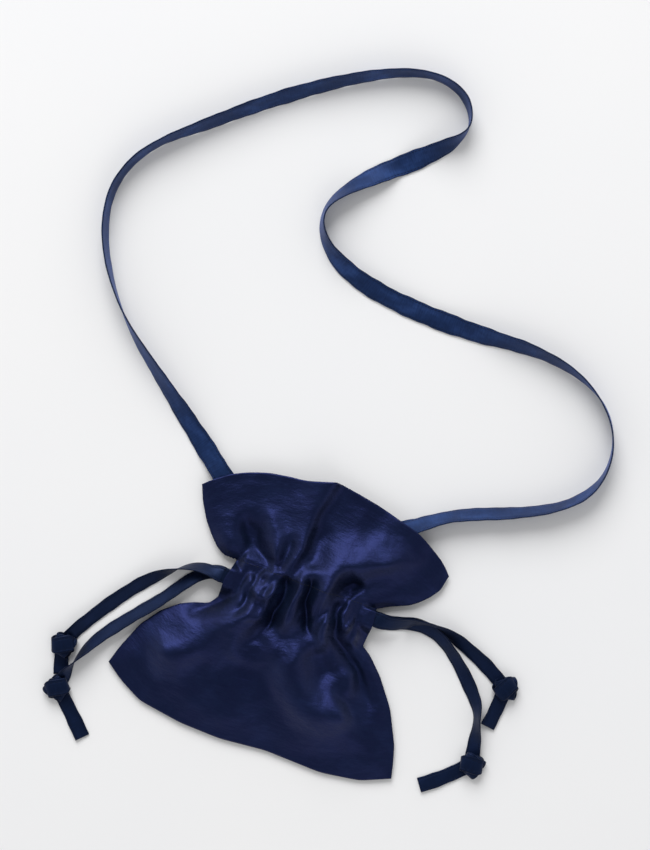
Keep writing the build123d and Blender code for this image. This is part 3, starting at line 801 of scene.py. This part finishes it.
def front_layer():
    """The front's outer surface: a low swell, the drawn-up neck, the large folds, then small creases."""
    plan = pouch_plan()
    rows = len(plan)
    sides = np.minimum(gap_to(plan, LEFT_SIDE[::-1] + FRILL_LEFT),
                       gap_to(plan, RIGHT_SIDE[::-1] + FRILL_RIGHT))
    foot = gap_to(plan, FOOT)
    y = plan[:, :, 1]
    neck = np.exp(-((y - 0.010) / 0.034) ** 2)
    body = 0.0022 + 0.0068 * swell(np.minimum(sides, foot * 0.9), 0.042)
    frill = 0.0034 + 0.0050 * swell(sides, 0.045)
    share = smooth_step(y, CASING_LOW, CASING_HIGH)  # from the body to the frill, across the casing
    base = body * (1 - share) + frill * share
    z = base + neck * 0.0115 * swell(sides + 0.001, 0.024)
    z += gathers(plan) * swell(sides, 0.012)
    wander = np.stack([crumple(plan, 60, 0.3, 1.0, 20.0), crumple(plan, 60, 1.1, 1.0, 31.0)], 2)
    wandered = plan + 0.0032 * wander  # so that no fold runs quite as straight as its line
    for line, height, *spread in FOLDS:
        z += FOLD_SCALE * fold_line(wandered, line, height, *spread)
    inner = swell(np.minimum(sides, foot), 0.02)
    z += 0.0013 * crumple(plan, 30, 0.4, 1.7, 1.0) * inner
    z += 0.0010 * (0.3 - np.abs(crumple(plan, 42, -0.5, 0.8, 14.0))) * inner
    z += 0.0006 * (0.3 - np.abs(crumple(plan, 85, 0.9, 0.6, 5.0))) * inner
    soft = z.copy()
    smoothing_passes, hem_rows, hem_thick = 7, 6, 0.0005
    for _ in range(smoothing_passes):
        soft[1:-1, 1:-1] = (soft[1:-1, 1:-1] * 2 + soft[:-2, 1:-1] + soft[2:, 1:-1]
                            + soft[1:-1, :-2] + soft[1:-1, 2:]) / 6
    hem = smooth_step(rows - 1 - np.arange(rows), 0, hem_rows)[:, None]
    soft += hem_thick * (1 - hem) * (sides > 0.002)
    soft = smooth_max(soft, over_tapes(plan))
    return np.concatenate([plan, soft[:, :, None]], 2)


def back_layer():
    """The back, flat on the surface but for small gathers at the neck."""
    plan = pouch_plan(0.0015)
    z = 0.0011 + 0.0004 * (crumple(plan, 40, 0.3, 1.0, 3.0) + 0.5)
    x, y = plan[:, :, 0], plan[:, :, 1]
    tall, pitch = 0.0036, 0.0095
    drawn = np.exp(-((y - 0.011) / 0.030) ** 2) * smooth_step(-np.abs(x), -0.054, -0.040)
    z += tall * drawn * (1 - np.cos(2 * math.pi * (x + 0.002 * np.sin(y * 90)) / pitch)) / 2
    return np.concatenate([plan, z[:, :, None]], 2)


def panel_piece(name, layer, rows, material, slot, node, front, thick):
    """A layer of cloth as a solid piece, with its place on the flat cloth and how near each edge is."""
    cols = layer.shape[1]
    xs = np.linspace(-FLAT_WIDTH / 2, FLAT_WIDTH / 2, cols)
    uv = [(x, y) for y in rows for x in xs]
    seam_shade, hem = 0.0022, 0.0006  # how wide the painted shade along the seams is, and how much narrower it is at the hem
    gap = np.minimum((FLAT_WIDTH / 2 - np.abs(xs))[None, :], (rows - rows[0])[:, None])
    gap = np.minimum(gap, (rows[-1] - rows)[:, None] + hem)
    edge = np.clip(1 - gap / seam_shade, 0, 1)
    obj = add_mesh(name, layer.reshape(-1, 3), grid_faces(len(rows), cols, flip=not front),
                   uv, edge.ravel())
    solid = obj.modifiers.new("thickness", "SOLIDIFY")
    solid.thickness, solid.offset = thick, -1
    return finish_piece(obj, "root", material, slot, node)


def stitch_row(name, layer, row_below, row_above, share, material, node):
    """A row of short stitches lying on the cloth's surface, following its pleats."""
    line = layer[row_below] * (1 - share) + layer[row_above] * share
    even = np.linspace(0, 1, 700)
    line = along(line, even)
    step = np.linalg.norm(np.diff(line, axis=0), axis=1)
    s = np.r_[0, np.cumsum(step)]
    up_way = layer[row_above] - layer[row_below]
    up_way = along(np.c_[np.arange(len(up_way)), up_way], even)[:, 1:]
    travel = np.gradient(line, axis=0)
    normals = np.cross(travel, up_way)
    normals /= np.linalg.norm(normals, axis=1)[:, None]
    points, faces, ring = [], [], 6
    pitch, long, thick = 0.0026, 0.0017, 0.00015
    for k in range(int(s[-1] / pitch)):
        a = k * pitch + 0.0004
        places = np.linspace(a, a + long, 5)
        base = len(points)
        for n, p in enumerate(places):
            c = np.array([np.interp(p, s, line[:, q]) for q in range(3)])
            t = np.array([np.interp(p, s, travel[:, q]) for q in range(3)])
            m = np.array([np.interp(p, s, normals[:, q]) for q in range(3)])
            t /= np.linalg.norm(t)
            m /= np.linalg.norm(m)
            w = np.cross(m, t)
            arch = (0.25, 0.9, 1.1, 0.9, 0.25)[n]
            size = thick * (0.45, 0.95, 1, 0.95, 0.45)[n]
            for q in range(ring):
                angle = 2 * math.pi * q / ring
                points.append(c + m * (thick * arch + size * math.sin(angle))
                              + w * size * 1.3 * math.cos(angle))
        faces += [tuple(base + v for v in f) for f in grid_faces(5, ring, around=True)]
    obj = add_mesh(name, points, faces)
    return finish_piece(obj, "root", material, "thread", node)


def inside_strap_end(side, place, inward, rolls, material, thread):
    """The strap's end, sewn down flat between the layers with two short rows of stitches."""
    x, y = place
    away = np.array((inward[0], inward[1], 0.0))
    away /= np.linalg.norm(away)
    tape_level, thread_level = 0.0047, 0.0046
    points = np.array([np.array((x, y, tape_level)) + away * t
                       for t in np.linspace(0.003, 0.028, 14)])
    obj, _ = tape(f"{side}_strap_end_tape", points, rolls, STRAP_WIDTH * 0.97, STRAP_THICK * 0.8,
                  material)
    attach(obj, "root")
    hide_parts(f"{side}_strap_end")
    right = np.cross(away, (0, 0, 1))
    rows, faces, ring = [], [], 6
    pitch, long = 0.0026, 0.0016
    for a in (-0.005, 0.005):
        for t in np.arange(0.014, 0.026, pitch):
            base = len(rows)
            for q in (t, t + long):
                c = np.array((x, y, thread_level)) + away * q + right * a
                for k in range(ring):
                    angle = 2 * math.pi * k / ring
                    rows.append(c + np.array((0, 0, 0.0006 + 0.0002 * math.sin(angle)))
                                + right * 0.0003 * math.cos(angle))
            faces += [tuple(base + v for v in f) for f in grid_faces(2, ring, around=True)]
    tack = add_mesh(f"{side}_strap_tack_thread", rows, faces)
    finish_piece(tack, "root", thread, "thread", f"{side}_strap_tack")


def make_room(front, back):
    """Opens the mouth a little over the strap's two ends, which come out between the layers."""
    # each exit's place, how far the opening spreads, and the least height of the front there
    exits = ((-0.0850, 0.0760, 0.017, 0.0068), (0.0590, 0.0930, 0.019, 0.0118))
    highest_back = 0.0026
    for x, y, reach, lowest_front in exits:
        for layer, limit, sign in ((front, lowest_front, 1), (back, highest_back, -1)):
            gap = np.hypot(layer[:, :, 0] - x, layer[:, :, 1] - y)
            missing = np.maximum(0, sign * (limit - layer[:, :, 2]))
            layer[:, :, 2] += sign * missing * np.exp(-(gap / reach) ** 4)


def pouch(thread):
    """The front and back panels, their linings and the casing's two rows of stitches."""
    cloth, lining = shell_material(), lining_material()
    rows, low, high = flat_rows(), BODY_ROWS, BODY_ROWS + CASING_ROWS
    front, back = front_layer(), back_layer()
    make_room(front, back)
    front_piece = panel_piece("front_panel_cloth", front, rows, cloth, "pouch_cloth",
                              "front_panel", True, CLOTH_THICK)
    back_piece = panel_piece("back_panel_cloth", back, rows, cloth, "pouch_cloth",
                             "back_panel", False, CLOTH_THICK)
    gap = front - back
    tall = np.maximum(gap[:, :, 2:], 0.0001)
    share = np.minimum(0.35, 0.0013 / tall)  # the lining lies 1.3 mm inside, or nearer where it is tight
    inner = slice(2, -3, 2)
    panel_piece("front_lining_cloth", (front - gap * share)[inner, 3:-3:2], rows[inner], lining,
                "lining_cloth", "front_lining", True, LINING_THICK)
    panel_piece("back_lining_cloth", (back + gap * share)[inner, 3:-3:2], rows[inner], lining,
                "lining_cloth", "back_lining", False, LINING_THICK)
    upper = stitch_row("upper_casing_thread", front, high, high + 1, 0.1, thread,
                       "upper_casing_stitches")
    lower = stitch_row("lower_casing_thread", front, low, low - 1, 0.1, thread,
                       "lower_casing_stitches")


# ---------------------------------------------------------------- all of it
photo_camera()
tape_cloth = drawstring_material()
strap_cloth = strap_material()
strap_piece, strap_path = strap(strap_cloth)
drawstring_end("left", "upper", LEFT_UPPER, LEFT_UPPER_ROLL, LEFT_UPPER_TAIL,
               [(0, -20), (0.02, 5)], tape_cloth)
drawstring_end("left", "lower", LEFT_LOWER, LEFT_LOWER_ROLL, LEFT_LOWER_TAIL,
               [(0, -10), (0.04, 6)], tape_cloth)
drawstring_end("right", "upper", RIGHT_UPPER, RIGHT_UPPER_ROLL, RIGHT_UPPER_TAIL,
               [(0, 0), (0.03, 12)], tape_cloth)
drawstring_end("right", "lower", RIGHT_LOWER, RIGHT_LOWER_ROLL, RIGHT_LOWER_TAIL,
               [(0, 0), (0.04, -6)], tape_cloth)
drawstring_loop("left", tape_cloth)
drawstring_loop("right", tape_cloth)
thread = thread_material()
pouch(thread)
inside_strap_end("left", STRAP[0][:2], (0.80, -0.60), [(0, 0), (0.03, 0)], strap_cloth, thread)
inside_strap_end("right", STRAP[-1][:2], (-0.78, -0.62), [(0, -46), (0.010, -30), (0.020, 0)],
                 strap_cloth, thread)
studio()
